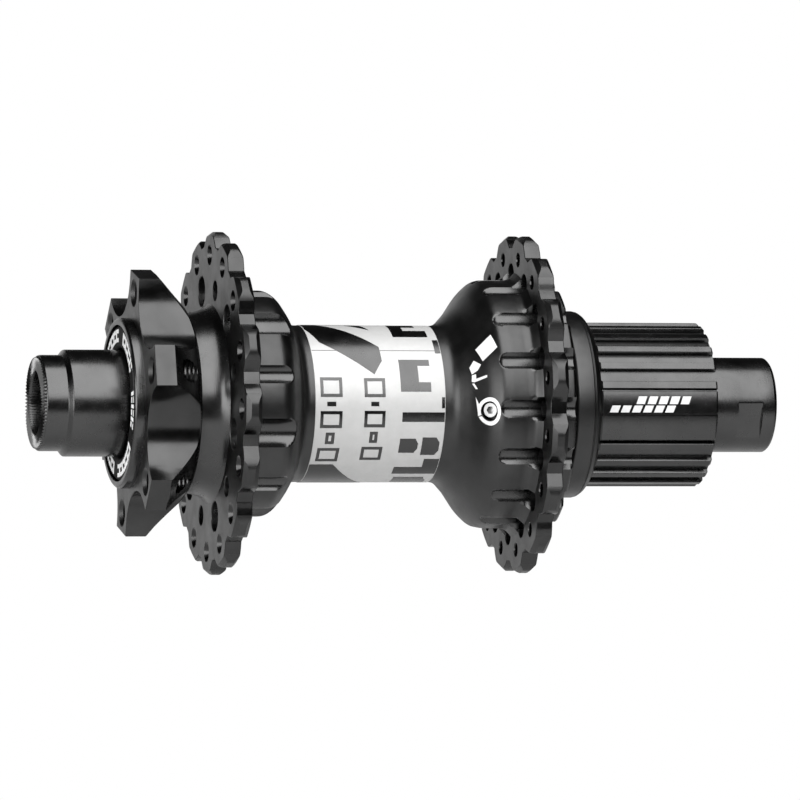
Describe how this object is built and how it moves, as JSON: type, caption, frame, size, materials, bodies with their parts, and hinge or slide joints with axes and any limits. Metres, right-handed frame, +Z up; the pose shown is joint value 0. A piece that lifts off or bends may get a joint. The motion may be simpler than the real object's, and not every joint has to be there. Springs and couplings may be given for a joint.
{
  "type": "rear bicycle hub",
  "caption": "Rear mountain-bike hub: flanged shell with a bolted brake disc mount, splined pawl freehub, sealed bearings and end caps for a through-axle.",
  "frame": {"origin": "on the hub's axis, midway between the two faces that meet the frame", "axes": "+Y along the axis towards the brake disc side, which is the rider's left; +X forwards; +Z up; a positive turn about +Y is the wheel rolling forwards"},
  "size_m": [0.067, 0.148, 0.067],
  "materials": {
    "black_anodised": "black anodised, satin",
    "plain_aluminium": "turned, satin",
    "bearing_steel": "ground and polished",
    "tool_steel": "hardened, satin",
    "black_rubber": "matt"
  },
  "bodies": {
    "axle": {"axle": "plain_aluminium", "disc_end_cap": "black_anodised", "drive_end_cap": "black_anodised", "disc_cap_o_ring": "black_rubber", "drive_cap_o_ring": "black_rubber", "drive_bearing_spacer": "plain_aluminium", "freehub_inner_race_spacer": "plain_aluminium", "disc_bearing_inner_race": "bearing_steel", "drive_bearing_inner_race": "bearing_steel", "freehub_inner_bearing_inner_race": "bearing_steel", "freehub_outer_bearing_inner_race": "bearing_steel"},
    "hub_shell": {"hub_shell": "black_anodised", "grease_port_screw": "tool_steel", "dust_cover": "black_anodised", "ratchet_ring": "tool_steel", "freehub_lip_seal": "black_rubber", "disc_bearing_outer_race": "bearing_steel", "disc_bearing_disc_side_seal": "black_rubber", "disc_bearing_drive_side_seal": "black_rubber", "drive_bearing_outer_race": "bearing_steel", "drive_bearing_disc_side_seal": "black_rubber", "drive_bearing_drive_side_seal": "black_rubber"},
    "freehub": {"freehub_body": "black_anodised", "freehub_circlip": "tool_steel", "freehub_outer_race_spacer": "plain_aluminium", "freehub_inner_bearing_outer_race": "bearing_steel", "freehub_inner_bearing_disc_side_seal": "black_rubber", "freehub_inner_bearing_drive_side_seal": "black_rubber", "freehub_outer_bearing_outer_race": "bearing_steel", "freehub_outer_bearing_disc_side_seal": "black_rubber", "freehub_outer_bearing_drive_side_seal": "black_rubber", "pawl_spring_1": "tool_steel", "pawl_spring_2": "tool_steel", "pawl_spring_3": "tool_steel", "pawl_spring_4": "tool_steel", "pawl_spring_5": "tool_steel", "pawl_spring_6": "tool_steel"},
    "pawl_1": {"pawl_1": "tool_steel"},
    "pawl_2": {"pawl_2": "tool_steel"},
    "pawl_3": {"pawl_3": "tool_steel"},
    "pawl_4": {"pawl_4": "tool_steel"},
    "pawl_5": {"pawl_5": "tool_steel"},
    "pawl_6": {"pawl_6": "tool_steel"},
    "disc_bearing_balls": {"disc_bearing_ball_set": "bearing_steel"},
    "drive_bearing_balls": {"drive_bearing_ball_set": "bearing_steel"},
    "freehub_inner_bearing_balls": {"freehub_inner_bearing_ball_set": "bearing_steel"},
    "freehub_outer_bearing_balls": {"freehub_outer_bearing_ball_set": "bearing_steel"}
  },
  "joints": [
    {"name": "hub_spin", "type": "hinge", "parent": "axle", "child": "hub_shell", "pos_m": [0, 0, 0], "axis": [0, 1, 0], "continuous": true},
    {"name": "freehub_spin", "type": "hinge", "parent": "axle", "child": "freehub", "pos_m": [0, -0.045, 0], "axis": [0, 1, 0], "continuous": true},
    {"name": "pawl_1_pivot", "type": "hinge", "parent": "freehub", "child": "pawl_1", "pos_m": [-0.00695, -0.02245, 0.01204], "axis": [0, 1, 0], "range_deg": [0, 14], "stiffness_Nm_per_rad": 0.002, "springref_deg": -17.19},
    {"name": "pawl_2_pivot", "type": "hinge", "parent": "freehub", "child": "pawl_2", "pos_m": [-0.0139, -0.02245, 0], "axis": [0, 1, 0], "range_deg": [0, 14], "stiffness_Nm_per_rad": 0.002, "springref_deg": -17.19},
    {"name": "pawl_3_pivot", "type": "hinge", "parent": "freehub", "child": "pawl_3", "pos_m": [-0.00695, -0.02245, -0.01204], "axis": [0, 1, 0], "range_deg": [0, 14], "stiffness_Nm_per_rad": 0.002, "springref_deg": -17.19},
    {"name": "pawl_4_pivot", "type": "hinge", "parent": "freehub", "child": "pawl_4", "pos_m": [0.00695, -0.02245, -0.01204], "axis": [0, 1, 0], "range_deg": [0, 14], "stiffness_Nm_per_rad": 0.002, "springref_deg": -17.19},
    {"name": "pawl_5_pivot", "type": "hinge", "parent": "freehub", "child": "pawl_5", "pos_m": [0.0139, -0.02245, 0], "axis": [0, 1, 0], "range_deg": [0, 14], "stiffness_Nm_per_rad": 0.002, "springref_deg": -17.19},
    {"name": "pawl_6_pivot", "type": "hinge", "parent": "freehub", "child": "pawl_6", "pos_m": [0.00695, -0.02245, 0.01204], "axis": [0, 1, 0], "range_deg": [0, 14], "stiffness_Nm_per_rad": 0.002, "springref_deg": -17.19},
    {"name": "disc_bearing_balls_orbit", "type": "hinge", "parent": "axle", "child": "disc_bearing_balls", "pos_m": [0, 0.052, 0], "axis": [0, 1, 0], "continuous": true},
    {"name": "drive_bearing_balls_orbit", "type": "hinge", "parent": "axle", "child": "drive_bearing_balls", "pos_m": [0, -0.013, 0], "axis": [0, 1, 0], "continuous": true},
    {"name": "freehub_inner_bearing_balls_orbit", "type": "hinge", "parent": "axle", "child": "freehub_inner_bearing_balls", "pos_m": [0, -0.0311, 0], "axis": [0, 1, 0], "continuous": true},
    {"name": "freehub_outer_bearing_balls_orbit", "type": "hinge", "parent": "axle", "child": "freehub_outer_bearing_balls", "pos_m": [0, -0.0553, 0], "axis": [0, 1, 0], "continuous": true}
  ],
  "couplings": [
    {"joint": "pawl_2_pivot", "follows": "pawl_1_pivot", "ratio": 1},
    {"joint": "pawl_3_pivot", "follows": "pawl_1_pivot", "ratio": 1},
    {"joint": "pawl_4_pivot", "follows": "pawl_1_pivot", "ratio": 1},
    {"joint": "pawl_5_pivot", "follows": "pawl_1_pivot", "ratio": 1},
    {"joint": "pawl_6_pivot", "follows": "pawl_1_pivot", "ratio": 1},
    {"joint": "disc_bearing_balls_orbit", "follows": "hub_spin", "ratio": 0.5907},
    {"joint": "drive_bearing_balls_orbit", "follows": "hub_spin", "ratio": 0.5907},
    {"joint": "freehub_inner_bearing_balls_orbit", "follows": "freehub_spin", "ratio": 0.559},
    {"joint": "freehub_outer_bearing_balls_orbit", "follows": "freehub_spin", "ratio": 0.559}
  ]
}
